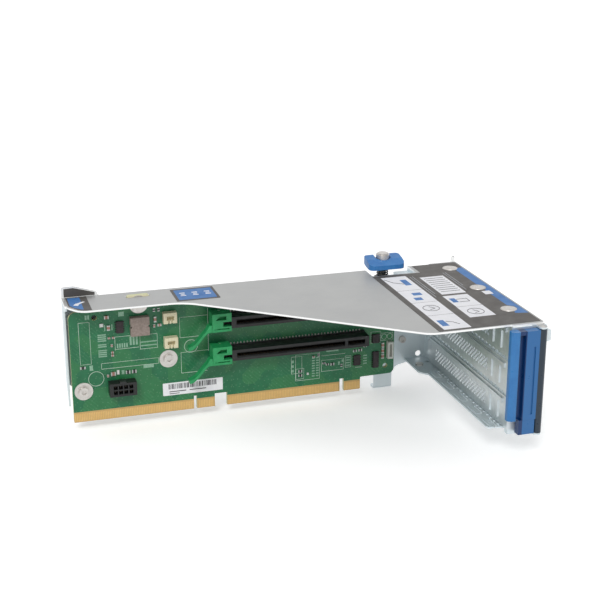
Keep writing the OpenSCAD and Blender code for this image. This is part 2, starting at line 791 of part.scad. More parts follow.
// Rounded wing that slopes down towards the board, about the pin's axis
module knob_wing()
    intersection() {
        linear_extrude(200) polygon(outline([
            [-knob_w / 2, -knob_near, 3.4], [knob_w / 2, -knob_near, 3.4],
            [knob_w / 2, knob_far, 2.2], [-knob_w / 2, knob_far, 2.2]
        ]));
        sheet_x(-knob_w, 2 * knob_w) polygon(outline([
            [-knob_near - 1, knob_low, 0], [-knob_near + 2, knob_low, 0], [-2, knob_low + 0.6, 3],
            [knob_far + 1, knob_low + 2.4, 0], [knob_far + 1, knob_low + 6.4, 0],
            [-3, knob_low + 5, 3], [-knob_near - 1, knob_low + 2.4, 0]
        ], 4));
    }

module latch_pin()
    color(colour_steel) {
        bar(latch_x, latch_y, seat_z - 0.6, seat_z + 2.2, head_d);
        bar(latch_x, latch_y, seat_z + 2.2 - eps, seat_z + 3, head_d - 1.6);
        bar(latch_x, latch_y, pin_foot_z, seat_z, latch_d);
        // Cam bar that turns under the server's bracket
        block([latch_x - cam_reach, latch_y - cam_w / 2, pin_foot_z - cam_h],
            [latch_x + cam_reach, latch_y + cam_w / 2, pin_foot_z + eps]);
    }

spring_d = 6.4;
spring_wire = 0.9;
spring_turns = 3.5;
washer_top = shelf_top + 0.9;

// Ring of points round the spring's wire at angle a along the coil
function coil_ring(a, height, sides) = [
    for (j = [0:sides - 1])
        let (
            r = spring_d / 2 + spring_wire / 2 * cos(j * 360 / sides),
            rise = height * a / (360 * spring_turns)
        )
        [r * cos(a), r * sin(a), spring_wire / 2 * (1 + sin(j * 360 / sides)) + rise]
];

module latch_spring() {
    sides = 8;
    rings = 70;
    height = hub_low - move_gap - washer_top - spring_wire;
    points = [for (i = [0:rings]) each coil_ring(i / rings * 360 * spring_turns, height, sides)];
    walls = [for (i = [0:rings - 1], j = [0:sides - 1])
        [i * sides + j, i * sides + (j + 1) % sides, (i + 1) * sides + (j + 1) % sides, (i + 1) * sides + j]];
    color(colour_dark) translate([latch_x, latch_y, washer_top])
        polyhedron(points, concat(
            [[for (j = [sides - 1:-1:0]) j]], walls, [[for (j = [0:sides - 1]) rings * sides + j]]));
}

module latch_washer()
    color(colour_dark) difference() {
        bar(latch_x, latch_y, shelf_top, washer_top, min(11, 2 * (back_y - latch_y + 0.4)));
        bar(latch_x, latch_y, shelf_top - 1, washer_top + 1, latch_d + 2 * run_gap);
    }

// ---- Card retainer -------------------------------------------------------------------

ret_back = cover_face - move_gap;
ret_front = ret_back - 4.6;
ret_left = rear_x - 2.6;
ret_top = plate_z - sheet - move_gap;
ret_low = 19.6;
groove_x0 = rear_x + 2;
groove_x1 = rear_x + 5.6;
foot_x0 = rear_x + 3.8;
foot_x1 = rear_x + 13.2;

module card_retainer()
    color(colour_blue) difference() {
        union() {
            // Two rounded lobes with a deep groove between them
            translate([0, 0, ret_low]) linear_extrude(ret_top - ret_low) polygon(outline([
                [ret_left, ret_back, 0.6], [ret_left, ret_front + 1.4, 1], [ret_left + 2, ret_front, 2],
                [groove_x0, ret_front, 0.8], [groove_x0 + 0.8, ret_back - 1.6, 0],
                [groove_x1 - 0.4, ret_back - 1.6, 0], [groove_x1, ret_front, 0.8],
                [foot_x1, ret_front, 1], [hinge_x, hinge_y - 2.4, 0], [hinge_x, ret_back, 0]
            ]));
            bar(hinge_x, hinge_y, ledge_low + sheet + move_gap, ret_top, 4.8);
            // Cap across both lobes
            block([ret_left + 0.6, ret_front + 0.6, ret_top - 2.2], [hinge_x, ret_back, ret_top]);
            // Foot that snaps behind the frame's lower edge
            block([foot_x0, ret_front + 0.2, ledge_low + 1.4], [foot_x1, ret_back, ret_low + eps]);
            block([foot_x1 - eps, ret_front + 2, ledge_low + 1.4], [hinge_x, ret_back, ledge_low + 5]);
        }
        // Shallow line along the outer lobe
        block([rear_x + 10.2, ret_front - 1, ret_low + 3], [rear_x + 11.4, ret_front + 0.7, ret_top - 9]);
        // Slanting lower corner
        translate([ret_left - 1, ret_front - 1, ret_low - 1.2])
            rotate([0, 38, 0]) mirror([0, 0, 1]) cube([9, 9, 6]);
        bar(hinge_x, hinge_y, 0, 100, hinge_d + 2 * run_gap);
    }

module retainer_pin() color(colour_steel) bar(hinge_x, hinge_y, ledge_low, plate_z, hinge_d);

// ---- Labels --------------------------------------------------------------------------

label_margin = 1.2;

module instruction_label()
    color(colour_label) flat_sheet(plate_top, label_t) difference() {
        polygon(outline([
            [recess_x0 - 0.6, recess_y - 1.2, 0], [slant_x1 + 5.2, near_y + label_margin, 0.6],
            [plate_x - label_margin, near_y + label_margin, 0.6], [plate_x - label_margin, back_y - 1.8, 0.6],
            [recess_x1 + label_margin, back_y - 1.8, 0.6], [recess_x1 + label_margin, recess_y - 1.2, 0.6]
        ], 3));
        for (y = rivet_ys) translate([rivet_x, y]) circle(d = 9.6);
    }

// Rectangular label with small corner radii
module label_shape(low, size, r)
    polygon(outline([
        [low.x, low.y, r], [low.x + size.x, low.y, r],
        [low.x + size.x, low.y + size.y, r], [low.x, low.y + size.y, r]
    ], 3));

module slot_label()
    color(colour_label) flat_sheet(plate_top, label_t) label_shape([59.3, -15.6], [25, 21.4], 0.5);

end_label_w = 11.7;

module end_label()
    color(colour_label) flat_sheet(plate_top, label_t) polygon(outline([
        [0, back_y - 1.9, 0], [0, -6, 4], [5.6, label_margin - narrow_depth, 6],
        [end_label_w, label_margin - narrow_depth, 0], [end_label_w, back_y - 1.9, 0]
    ], 4));

// Label wrapped over the front of the raised lug
module lug_label()
    color(colour_label) sheet_y(wall_y - label_t, label_t) polygon([
        [-0.6, plate_top + 0.3], [-0.6, plate_top + 5.2], [4.8, plate_top + 5.4],
        [16.8, plate_top + 1.9], [16.8, plate_top + 0.3]
    ]);

module barcode_label()
    color("white") sheet_y(-label_t, label_t) label_shape([52.2, 10.2], [35.9, 7.8], 0.4);

// ---- Parts ---------------------------------------------------------------------------

cage_sheet();
slot_frame();
slot_cover(0);  // slot_cover_lower
slot_cover(1);  // slot_cover_middle
slot_cover(2);  // slot_cover_upper
frame_rivets();
corner_rivets();
wall_stud();
riser_board();
edge_contacts();
board_screws();
board_washers();
board_standoffs();
slot_connector(0);  // slot_connector_lower
slot_connector(1);  // slot_connector_upper
slot_contacts();
solder_tails();
retention_lever(0);  // retention_lever_lower
retention_lever(1);  // retention_lever_upper
lever_pins();
power_header();
header_pins();
fan_socket(53.6, 40.9);  // fan_socket_lower
fan_socket(53.4, 56);  // fan_socket_upper
power_inductor();
chip(26.6, 52.4, 4, 7, 1.2, 5);  // regulator_chip
chip(board_right - 13.8, 13.1, 3.4, 10.4, 1.2, 8);  // bridge_chip
chip(board_right - 26.2, 15.9, 4, 6.6, 1, 4);  // logic_chip
chip(conn_end + 5.5, 29.2, 4.4, 5.6, 1.2, 4);  // clock_chip
edge_socket();
latch_knob();
latch_pin();
latch_spring();
latch_washer();
card_retainer();
retainer_pin();
instruction_label();
slot_label();
end_label();
lug_label();
barcode_label();
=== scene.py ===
# Riser cage bracket of a rack server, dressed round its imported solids: folded zinc-coated
# sheet, a green riser board with its parts, a slot frame with three vented covers, a blue
# half-turn latch and a blue card retainer. Lengths are in millimetres until a mesh is made.
import math
import random

import bmesh
import bpy
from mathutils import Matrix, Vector


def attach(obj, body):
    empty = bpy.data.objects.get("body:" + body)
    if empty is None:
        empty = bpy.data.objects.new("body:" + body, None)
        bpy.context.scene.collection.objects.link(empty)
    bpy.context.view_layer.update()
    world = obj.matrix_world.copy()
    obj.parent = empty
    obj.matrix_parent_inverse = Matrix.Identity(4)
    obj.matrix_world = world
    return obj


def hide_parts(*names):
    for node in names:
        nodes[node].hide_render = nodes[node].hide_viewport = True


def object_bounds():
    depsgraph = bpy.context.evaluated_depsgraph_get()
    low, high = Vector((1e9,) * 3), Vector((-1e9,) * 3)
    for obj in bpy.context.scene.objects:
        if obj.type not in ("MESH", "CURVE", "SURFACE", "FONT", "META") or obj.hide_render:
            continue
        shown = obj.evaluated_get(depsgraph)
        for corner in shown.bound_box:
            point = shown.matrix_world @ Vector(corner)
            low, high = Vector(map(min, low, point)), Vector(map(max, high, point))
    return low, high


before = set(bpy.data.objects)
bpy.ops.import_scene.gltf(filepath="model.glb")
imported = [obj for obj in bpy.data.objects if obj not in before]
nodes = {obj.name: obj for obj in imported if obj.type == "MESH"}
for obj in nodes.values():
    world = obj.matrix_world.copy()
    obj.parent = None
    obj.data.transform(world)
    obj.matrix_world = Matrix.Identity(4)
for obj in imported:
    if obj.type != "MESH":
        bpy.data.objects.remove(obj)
cad_box = [list(corner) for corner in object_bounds()]

# ---- Stand ---------------------------------------------------------------------------
# The cage stands on the folded foot of its lower tab, on a plain pale floor. Two broad soft
# lamps and an even white world light it, and the camera looks down along the board.
FLOOR_Z = cad_box[0][2]
FLOOR_SIZE = 12.0
WORLD_FILL = 0.5
FLOOR_GLOW = 0.3

scene = bpy.context.scene
scene.view_settings.view_transform = "Standard"


def seen_directly(tree):
    """One where the camera, a reflection or glass sees the surface, zero where it lights."""
    path = tree.nodes.new("ShaderNodeLightPath")
    either = tree.nodes.new("ShaderNodeMath")
    either.operation = "MAXIMUM"
    tree.links.new(path.outputs["Is Camera Ray"], either.inputs[0])
    tree.links.new(path.outputs["Is Glossy Ray"], either.inputs[1])
    every = tree.nodes.new("ShaderNodeMath")
    every.operation = "MAXIMUM"
    tree.links.new(either.outputs[0], every.inputs[0])
    tree.links.new(path.outputs["Is Transmission Ray"], every.inputs[1])
    return every.outputs[0]


world = bpy.data.worlds.new("even_white")
scene.world = world
world.use_nodes = True
sky = world.node_tree
sky.nodes["Background"].inputs["Color"].default_value = (1, 1, 1, 1)
sky_level = sky.nodes.new("ShaderNodeMapRange")
sky_level.inputs["To Min"].default_value = WORLD_FILL
sky_level.inputs["To Max"].default_value = 1.0
sky.links.new(seen_directly(sky), sky_level.inputs["Value"])
sky.links.new(sky_level.outputs["Result"], sky.nodes["Background"].inputs["Strength"])

bpy.ops.mesh.primitive_plane_add(size=FLOOR_SIZE, location=(0.1, 0, FLOOR_Z - 0.0002))
floor = bpy.context.object
floor.name = "floor"
floor_paint = bpy.data.materials.new("floor_paint")
floor_paint.use_nodes = True
floor_shader = floor_paint.node_tree.nodes["Principled BSDF"]
floor_shader.inputs["Base Color"].default_value = (0.93, 0.93, 0.93, 1)
floor_shader.inputs["Roughness"].default_value = 0.9
floor_shader.inputs["Specular IOR Level"].default_value = 0.1
floor_lift = floor_paint.node_tree.nodes.new("ShaderNodeMath")
floor_lift.operation = "MULTIPLY"
floor_lift.inputs[1].default_value = FLOOR_GLOW
floor_paint.node_tree.links.new(seen_directly(floor_paint.node_tree), floor_lift.inputs[0])
floor_paint.node_tree.links.new(floor_lift.outputs[0], floor_shader.inputs["Emission Strength"])
floor_shader.inputs["Emission Color"].default_value = (1, 1, 1, 1)
floor.data.materials.append(floor_paint)


def add_sun(name, direction, strength, spread):
    """Soft lamp that shines along direction, spread in degrees."""
    lamp = bpy.data.lights.new(name, "SUN")
    lamp.energy = strength
    lamp.angle = math.radians(spread)
    holder = bpy.data.objects.new(name, lamp)
    holder.rotation_mode = "QUATERNION"
    holder.rotation_quaternion = Vector(direction).to_track_quat("-Z", "Y")
    scene.collection.objects.link(holder)


add_sun("front_lamp", (0.35, 0.62, -0.62), 1.35, 20)
add_sun("top_lamp", (0.05, 0.15, -1.0), 0.35, 40)

CAMERA_PLACE = (-0.069302, -0.664136, 0.293585)
CAMERA_YAW = 17.18
CAMERA_PITCH = 18.479
CAMERA_LENS = 74.37

eye = bpy.data.cameras.new("camera")
eye.lens = CAMERA_LENS
eye.sensor_width = 36
eye.clip_start = 0.01
camera = bpy.data.objects.new("camera", eye)
camera.location = CAMERA_PLACE
camera.rotation_euler = (math.radians(90 - CAMERA_PITCH), 0, math.radians(-CAMERA_YAW))
scene.collection.objects.link(camera)
scene.camera = camera

# ---- Cage and slot frame -------------------------------------------------------------
# The cage, the slot frame and the slot covers are punched and folded from zinc-coated steel
# sheet a millimetre thick. The coating is a satin grey with a faint mottle and fine rolling
# lines; a painted highlight brightens the panel's punched edges, and painted light makes the walls
# below the panel paler.


def shader_group(name, inputs, outputs):
    """Empty shader node group with named sockets. inputs: name, kind and default value."""
    group = bpy.data.node_groups.new(name, "ShaderNodeTree")
    for label, kind, value in inputs:
        socket = group.interface.new_socket(label, in_out="INPUT", socket_type=kind)
        socket.default_value = value
    for label, kind in outputs:
        group.interface.new_socket(label, in_out="OUTPUT", socket_type=kind)
    return group, group.nodes.new("NodeGroupInput"), group.nodes.new("NodeGroupOutput")


def add_node(tree, kind, values=(), links=()):
    """New node with its socket values and links given by name or index."""
    node = tree.nodes.new(kind)
    for key, value in dict(values).items():
        if isinstance(key, str) and hasattr(node, key):
            setattr(node, key, value)
        else:
            node.inputs[key].default_value = value
    for key, source in dict(links).items():
        tree.links.new(source, node.inputs[key])
    return node


FLOAT = "NodeSocketFloat"
COLOUR = "NodeSocketColor"

# Coat: uneven colour and gloss of a surface, with a fine grain along one axis
coat, coat_in, coat_out = shader_group(
    "coat",
    [
        ("Light Colour", COLOUR, (0.5, 0.5, 0.5, 1)),
        ("Dark Colour", COLOUR, (0.4, 0.4, 0.4, 1)),
        ("Mottle Size", FLOAT, 4.0),
        ("Grain Size", FLOAT, 0.4),
        ("Grain Stretch", FLOAT, 12.0),
        ("Smooth", FLOAT, 0.38),
        ("Rough", FLOAT, 0.5),
    ],
    [("Colour", COLOUR), ("Roughness", FLOAT), ("Height", FLOAT)],
)
coat_place = add_node(coat, "ShaderNodeTexCoord")
mottle_scale = add_node(
    coat, "ShaderNodeMath", {"operation": "DIVIDE", 0: 1000.0},
    {1: coat_in.outputs["Mottle Size"]}
)
mottle = add_node(
    coat, "ShaderNodeTexNoise", {"Detail": 4.0, "Roughness": 0.6},
    {"Vector": coat_place.outputs["Object"], "Scale": mottle_scale.outputs[0]},
)
grain_scale = add_node(
    coat, "ShaderNodeMath", {"operation": "DIVIDE", 0: 1000.0},
    {1: coat_in.outputs["Grain Size"]}
)
grain_squeeze = add_node(
    coat, "ShaderNodeMath", {"operation": "DIVIDE", 0: 1.0},
    {1: coat_in.outputs["Grain Stretch"]}
)
grain_axes = add_node(coat, "ShaderNodeCombineXYZ", {1: 1.0, 2: 1.0}, {0: grain_squeeze.outputs[0]})
grain_place = add_node(
    coat, "ShaderNodeVectorMath", {"operation": "MULTIPLY"},
    {0: coat_place.outputs["Object"], 1: grain_axes.outputs[0]},
)
grain = add_node(
    coat, "ShaderNodeTexNoise", {"Detail": 2.0},
    {"Vector": grain_place.outputs[0], "Scale": grain_scale.outputs[0]},
)
uneven = add_node(
    coat, "ShaderNodeMath", {"operation": "MULTIPLY_ADD", 1: 0.35},
    {0: grain.outputs["Fac"], 2: mottle.outputs["Fac"]},
)
share = add_node(
    coat, "ShaderNodeMapRange", {"From Min": 0.45, "From Max": 0.9}, {"Value": uneven.outputs[0]}
)
coat_colour = add_node(
    coat, "ShaderNodeMix", {"data_type": "RGBA"},
    {0: share.outputs[0], 6: coat_in.outputs["Dark Colour"], 7: coat_in.outputs["Light Colour"]},
)
coat_gloss = add_node(
    coat, "ShaderNodeMapRange", {},
    {
        "Value": share.outputs[0], "To Min": coat_in.outputs["Rough"],
        "To Max": coat_in.outputs["Smooth"]
    },
)
coat.links.new(coat_colour.outputs[2], coat_out.inputs["Colour"])
coat.links.new(coat_gloss.outputs[0], coat_out.inputs["Roughness"])
coat.links.new(grain.outputs["Fac"], coat_out.inputs["Height"])


def srgb(red, green, blue):
    """Linear colour of a display colour given as 0 to 255."""
    return tuple(
        c / 12.92 if c <= 0.04045 else ((c + 0.055) / 1.055) ** 2.4
        for c in (red / 255, green / 255, blue / 255)
    ) + (1.0,)


def finish(name, light, dark, sizes=(4.0, 0.4, 12.0), gloss=(0.38, 0.5), metallic=0.0,
           specular=0.5, bump=0.05, clear=0.0):
    """Material with an uneven coat. light and dark are display colours, sizes in mm."""
    material = bpy.data.materials.new(name)
    material.use_nodes = True
    tree = material.node_tree
    shader = tree.nodes["Principled BSDF"]
    shader.inputs["Metallic"].default_value = metallic
    shader.inputs["Specular IOR Level"].default_value = specular
    shader.inputs["Coat Weight"].default_value = clear
    group = add_node(tree, "ShaderNodeGroup", {"node_tree": coat})
    values = {
        "Light Colour": srgb(*light),
        "Dark Colour": srgb(*dark),
        "Mottle Size": sizes[0],
        "Grain Size": sizes[1],
        "Grain Stretch": sizes[2],
        "Smooth": gloss[0],
        "Rough": gloss[1],
    }
    for label, value in values.items():
        group.inputs[label].default_value = value
    relief = add_node(
        tree, "ShaderNodeBump", {"Strength": bump, "Distance": 0.0002},
        {"Height": group.outputs["Height"]},
    )
    tree.links.new(group.outputs["Colour"], shader.inputs["Base Color"])
    tree.links.new(group.outputs["Roughness"], shader.inputs["Roughness"])
    tree.links.new(relief.outputs["Normal"], shader.inputs["Normal"])
    return material


def dress(material, *names):
    """Gives CAD nodes their material."""
    for name in names:
        slots = nodes[name].data.materials
        slots.clear()
        slots.append(material)


zinc = finish("zinc_sheet", (180, 181, 180), (176, 177, 177), (22.0, 0.5, 16.0), (0.42, 0.5), 0.6)
# Height of the panel's underside, colour of the painted highlight on its punched edge and of the
# painted light on the walls below it, and the most that an upright face's normal rises
PANEL_LOW = 71.7
EDGE_HIGHLIGHT_PAINT = srgb(250, 251, 250)
WALL_LIGHT_PAINT = srgb(214, 224, 228)
UPRIGHT_BELOW = 0.4
zinc_tree = zinc.node_tree
zinc_shader = zinc_tree.nodes["Principled BSDF"]
zinc_colour = zinc_shader.inputs["Base Color"].links[0].from_socket
zinc_place = add_node(zinc_tree, "ShaderNodeTexCoord")
zinc_axes = add_node(zinc_tree, "ShaderNodeSeparateXYZ", {}, {0: zinc_place.outputs["Object"]})
zinc_facing = add_node(zinc_tree, "ShaderNodeNewGeometry")
zinc_turn = add_node(zinc_tree, "ShaderNodeSeparateXYZ", {}, {0: zinc_facing.outputs["Normal"]})
zinc_level = add_node(
    zinc_tree, "ShaderNodeMath", {"operation": "ABSOLUTE"}, {0: zinc_turn.outputs["Z"]}
)
upright = add_node(
    zinc_tree, "ShaderNodeMath", {"operation": "LESS_THAN", 1: UPRIGHT_BELOW},
    {0: zinc_level.outputs[0]}
)
at_panel = add_node(
    zinc_tree, "ShaderNodeMath", {"operation": "GREATER_THAN", 1: PANEL_LOW / 1000},
    {0: zinc_axes.outputs["Z"]},
)
# Painted highlight: upright punched edges at the panel's height are painted near white
edge_highlight_mask = add_node(
    zinc_tree, "ShaderNodeMath", {"operation": "MULTIPLY"},
    {0: upright.outputs[0], 1: at_panel.outputs[0]}
)
edge_highlight_mix = add_node(
    zinc_tree, "ShaderNodeMix", {"data_type": "RGBA", 7: EDGE_HIGHLIGHT_PAINT},
    {0: edge_highlight_mask.outputs[0], 6: zinc_colour}
)
# Painted light: the walls below the panel lie in its shade and are painted paler and a little blue
wall_light_mask = add_node(
    zinc_tree, "ShaderNodeMath", {"operation": "LESS_THAN", 1: PANEL_LOW / 1000},
    {0: zinc_axes.outputs["Z"]},
)
wall_light_mix = add_node(
    zinc_tree, "ShaderNodeMix", {"data_type": "RGBA", 7: WALL_LIGHT_PAINT},
    {0: wall_light_mask.outputs[0], 6: edge_highlight_mix.outputs[2]},
)
zinc_tree.links.new(wall_light_mix.outputs[2], zinc_shader.inputs["Base Color"])
zinc_cover = finish(
    "zinc_cover", (226, 232, 234), (206, 213, 216), (7.0, 0.4, 1.0), (0.3, 0.42), 0.8
)
dress(zinc, "cage_sheet", "slot_frame")
dress(zinc_cover, "slot_cover_lower", "slot_cover_middle", "slot_cover_upper")

# ---- Rivets and screws ---------------------------------------------------------------
# Nickel-plated turned steel: three large domed rivets join the frame to the cage, and pan
# head screws on plated washers hold the board. The washers bear on a ring of tinned vias.
MM = 0.001
nickel = finish("nickel_steel", (214, 210, 205), (192, 188, 184), (2.0, 0.2, 1.0), (0.25, 0.4), 0.8)
dress(
    nickel, "corner_rivets", "wall_stud", "board_screws", "board_washers", "board_standoffs",
    "solder_tails", "lever_pins", "latch_pin", "retainer_pin",
)


def geometry_tree(name, inputs):
    """Empty geometry tree with one geometry in, one out, and named inputs."""
    tree = bpy.data.node_groups.new(name, "GeometryNodeTree")
    tree.interface.new_socket("Geometry", in_out="INPUT", socket_type="NodeSocketGeometry")
    for label, kind, value in inputs:
        socket = tree.interface.new_socket(label, in_out="INPUT", socket_type=kind)
        if value is not None:
            socket.default_value = value
    tree.interface.new_socket("Geometry", in_out="OUTPUT", socket_type="NodeSocketGeometry")
    return tree, tree.nodes.new("NodeGroupInput"), tree.nodes.new("NodeGroupOutput")


def grown(name, tree, mesh, values):
    """Plain mesh object that the tree makes out of mesh, with its inputs set by identifier."""
    seed = bpy.data.objects.new(name + "_seed", mesh)
    scene.collection.objects.link(seed)
    modifier = seed.modifiers.new("grow", "NODES")
    modifier.node_group = tree
    identifiers = {
        item.name: item.identifier
        for item in tree.interface.items_tree
        if item.item_type == "SOCKET" and item.in_out == "INPUT"
    }
    for label, value in values.items():
        modifier[identifiers[label]] = value
    bpy.context.view_layer.update()
    graph = bpy.context.evaluated_depsgraph_get()
    made = bpy.data.meshes.new_from_object(seed.evaluated_get(graph), depsgraph=graph)
    seed.modifiers.remove(modifier)
    bpy.data.objects.remove(seed)
    piece = bpy.data.objects.new(name, made)
    scene.collection.objects.link(piece)
    return piece


def points_mesh(name, places, sizes=None, turns=None):
    """Loose points in metres from places in mm, with an optional size and turn for each."""
    mesh = bpy.data.meshes.new(name)
    mesh.from_pydata([tuple(c * MM for c in place) for place in places], [], [])
    if sizes:
        size = mesh.attributes.new("size", "FLOAT_VECTOR", "POINT")
        size.data.foreach_set("vector", [c * MM for triple in sizes for c in triple])
    turn = mesh.attributes.new("turn", "FLOAT", "POINT")
    turn.data.foreach_set("value", [float(t) for t in (turns or [0] * len(places))])
    return mesh


# Domed heads: a flattened ball on a thin rim at each point
heads, heads_in, heads_out = geometry_tree(
    "domed_heads",
    [
        ("Radius", FLOAT, 0.0045), ("Rise", FLOAT, 0.0008), ("Rim", FLOAT, 0.0003),
        ("Finish", "NodeSocketMaterial", None),
    ],
)
ball = add_node(
    heads, "GeometryNodeMeshUVSphere", {"Segments": 40, "Rings": 14},
    {"Radius": heads_in.outputs["Radius"]},
)
flat = add_node(heads, "ShaderNodeMath", {"operation": "DIVIDE"},
                {0: heads_in.outputs["Rise"], 1: heads_in.outputs["Radius"]})
squash = add_node(heads, "ShaderNodeCombineXYZ", {0: 0.96, 1: 0.96}, {2: flat.outputs[0]})
dome = add_node(
    heads, "GeometryNodeTransform", {},
    {"Geometry": ball.outputs["Mesh"], "Scale": squash.outputs[0]}
)
rim_depth = add_node(
    heads, "ShaderNodeMath", {"operation": "MULTIPLY", 1: 2.0}, {0: heads_in.outputs["Rim"]}
)
rim = add_node(
    heads, "GeometryNodeMeshCylinder", {"Vertices": 40},
    {"Radius": heads_in.outputs["Radius"], "Depth": rim_depth.outputs[0]},
)
head_parts = add_node(heads, "GeometryNodeJoinGeometry")
heads.links.new(dome.outputs[0], head_parts.inputs[0])
heads.links.new(rim.outputs["Mesh"], head_parts.inputs[0])
head_copies = add_node(
    heads, "GeometryNodeInstanceOnPoints", {},
    {"Points": heads_in.outputs["Geometry"], "Instance": head_parts.outputs[0]},
)
head_real = add_node(
    heads, "GeometryNodeRealizeInstances", {}, {"Geometry": head_copies.outputs[0]}
)
head_smooth = add_node(heads, "GeometryNodeSetShadeSmooth", {}, {"Geometry": head_real.outputs[0]})
head_finish = add_node(
    heads, "GeometryNodeSetMaterial", {},
    {"Geometry": head_smooth.outputs[0], "Material": heads_in.outputs["Finish"]},
)
heads.links.new(head_finish.outputs[0], heads_out.inputs[0])

PANEL_TOP = 72.9
RIVET_X = 230.8
RIVET_YS = (-2.2, -42.0, -82.0)
rivet_heads = grown(
    "rivet_heads", heads,
    points_mesh("rivet_points", [(RIVET_X, y, PANEL_TOP) for y in RIVET_YS]),
    {"Radius": 4.5 * MM, "Rise": 0.8 * MM, "Rim": 0.35 * MM, "Finish": nickel},
)
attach(rivet_heads, "cage")
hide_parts("frame_rivets")

# ---- Riser board ---------------------------------------------------------------------
# Glass laminate under green solder mask, with fine tracks, gold-plated contacts along its
# lower edge, bare laminate between them, and a paler cut edge all round.
FINGER_TOP = 6.2
EAR_LOW = 70.0

mask_green = finish(
    "board_mask", (24, 112, 70), (16, 96, 60), (6.0, 0.6, 3.0), (0.3, 0.42), 0.0, 0.5, 0.04
)
board_tree = mask_green.node_tree
board_shader = board_tree.nodes["Principled BSDF"]
mask_colour = board_shader.inputs["Base Color"].links[0].from_socket
board_place = add_node(board_tree, "ShaderNodeTexCoord")
board_axes = add_node(board_tree, "ShaderNodeSeparateXYZ", {}, {0: board_place.outputs["Object"]})
board_flat = add_node(
    board_tree, "ShaderNodeCombineXYZ", {}, {0: board_axes.outputs["X"], 1: board_axes.outputs["Z"]}
)


def mixed(tree, share, below, above):
    """Colour that goes from below to above as share goes from 0 to 1."""
    mix = add_node(tree, "ShaderNodeMix", {"data_type": "RGBA"}, {0: share})
    for index, colour in ((6, below), (7, above)):
        if isinstance(colour, tuple):
            mix.inputs[index].default_value = colour
        else:
            tree.links.new(colour, mix.inputs[index])
    return mix.outputs[2]


def compared(tree, value, operation, limit):
    """Mask: one where value is above (GREATER_THAN) or below (LESS_THAN) limit."""
    test = add_node(tree, "ShaderNodeMath", {"operation": operation, 1: limit}, {0: value})
    return test.outputs[0]


def times(tree, one, other):
    """Product of two values."""
    product = add_node(tree, "ShaderNodeMath", {"operation": "MULTIPLY"}, {0: one})
    if isinstance(other, (int, float)):
        product.inputs[1].default_value = other
    else:
        tree.links.new(other, product.inputs[1])
    return product.outputs[0]


# Copper areas show through the mask as square-edged paler patches
patches = add_node(
    board_tree, "ShaderNodeTexVoronoi", {
        "distance": "CHEBYCHEV", "voronoi_dimensions": "2D", "Scale": 90.0
    },
    {"Vector": board_flat.outputs[0]},
)
patch_value = add_node(board_tree, "ShaderNodeSeparateColor", {}, {0: patches.outputs["Color"]})
copper = compared(board_tree, patch_value.outputs[0], "GREATER_THAN", 0.62)
green_1 = mixed(board_tree, times(board_tree, copper, 0.3), mask_colour, srgb(60, 132, 70))
# Bundles of tracks
tracks = add_node(
    board_tree, "ShaderNodeTexWave", {"Scale": 260.0, "Distortion": 0.0},
    {"Vector": board_flat.outputs[0]},
)
tracks.bands_direction = "DIAGONAL"
bundle = compared(board_tree, patch_value.outputs[1], "GREATER_THAN", 0.55)
track_mask = times(
    board_tree, compared(board_tree, tracks.outputs["Fac"], "GREATER_THAN", 0.72), bundle
)
green_2 = mixed(board_tree, times(board_tree, track_mask, 0.1), green_1, srgb(92, 170, 112))
# Vias
vias = add_node(
    board_tree, "ShaderNodeTexVoronoi", {
        "voronoi_dimensions": "2D", "Scale": 340.0, "Randomness": 0.9
    },
    {"Vector": board_flat.outputs[0]},
)
via_mask = compared(board_tree, vias.outputs["Distance"], "LESS_THAN", 0.11)
green_3 = mixed(board_tree, times(board_tree, via_mask, 0.18), green_2, srgb(150, 190, 150))
# Bare laminate among the contacts and along the cut edges
low_zone = compared(board_tree, board_axes.outputs["Z"], "LESS_THAN", FINGER_TOP * MM)
low_bare = mixed(board_tree, low_zone, green_3, srgb(200, 164, 104))
ear_zone = compared(board_tree, board_axes.outputs["Z"], "GREATER_THAN", EAR_LOW * MM)
bare = mixed(board_tree, ear_zone, low_bare, srgb(228, 222, 188))
facing = add_node(board_tree, "ShaderNodeNewGeometry")
facing_axes = add_node(board_tree, "ShaderNodeSeparateXYZ", {}, {0: facing.outputs["Normal"]})
sideways = add_node(
    board_tree, "ShaderNodeMath", {"operation": "ABSOLUTE"}, {0: facing_axes.outputs["Y"]}
)
cut_edge = compared(board_tree, sideways.outputs[0], "LESS_THAN", 0.5)
board_tree.links.new(
    mixed(board_tree, cut_edge, bare, srgb(206, 208, 160)),
    board_shader.inputs["Base Color"]
)

gold = finish("contact_gold", (232, 194, 126), (218, 178, 110), (3.0, 0.3, 1.0), (0.28, 0.4), 0.3)
shaded_gold = finish("shaded_gold", (66, 54, 34), (40, 32, 20), (3.0, 0.3, 1.0), (0.4, 0.5), 0.4)
dress(mask_green, "riser_board")
dress(gold, "edge_contacts")
dress(shaded_gold, "slot_contacts", "header_pins")

# ---- Printing on the board -----------------------------------------------------------
# Thin white epoxy ink: outlines of parts, circles and test fields, with no wording.
ink = finish("board_ink", (206, 224, 208), (186, 208, 190), (1.0, 0.2, 1.0), (0.5, 0.7))

